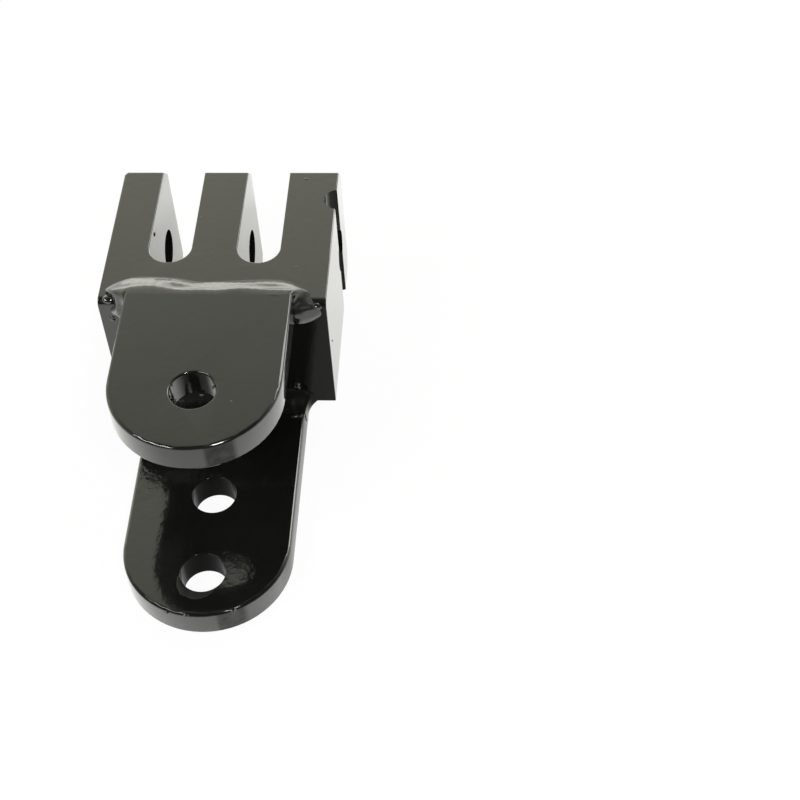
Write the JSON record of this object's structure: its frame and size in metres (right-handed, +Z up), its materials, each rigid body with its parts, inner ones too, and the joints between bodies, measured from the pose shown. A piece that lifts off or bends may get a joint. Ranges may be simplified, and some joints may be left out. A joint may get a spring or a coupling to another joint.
{
  "type": "tow bar adapter bracket",
  "caption": "Black painted steel tow-bar adapter: a slotted pin-lug block with upper and lower rounded tongues welded to it, pierced for pins and a safety chain.",
  "frame": {"origin": "middle of the bounding box's footprint, on the underside of the lower tongue", "axes": "+Y along the tongues towards the pin lugs, +X to the right seen from the tongue end, +Z up through both tongues"},
  "size_m": [0.0698, 0.145, 0.0595],
  "materials": {
    "black_paint": "gloss",
    "weld_paint": "gloss, rippled"
  },
  "bodies": {
    "root": {"lug_block": "black_paint", "upper_tongue": "black_paint", "lower_tongue": "black_paint", "upper_back_weld": "weld_paint", "upper_left_weld": "weld_paint", "upper_right_weld": "weld_paint", "upper_inner_weld": "weld_paint", "lower_back_weld": "weld_paint", "lower_left_weld": "weld_paint", "lower_right_weld": "weld_paint", "lower_inner_weld": "weld_paint"}
  },
  "joints": []
}
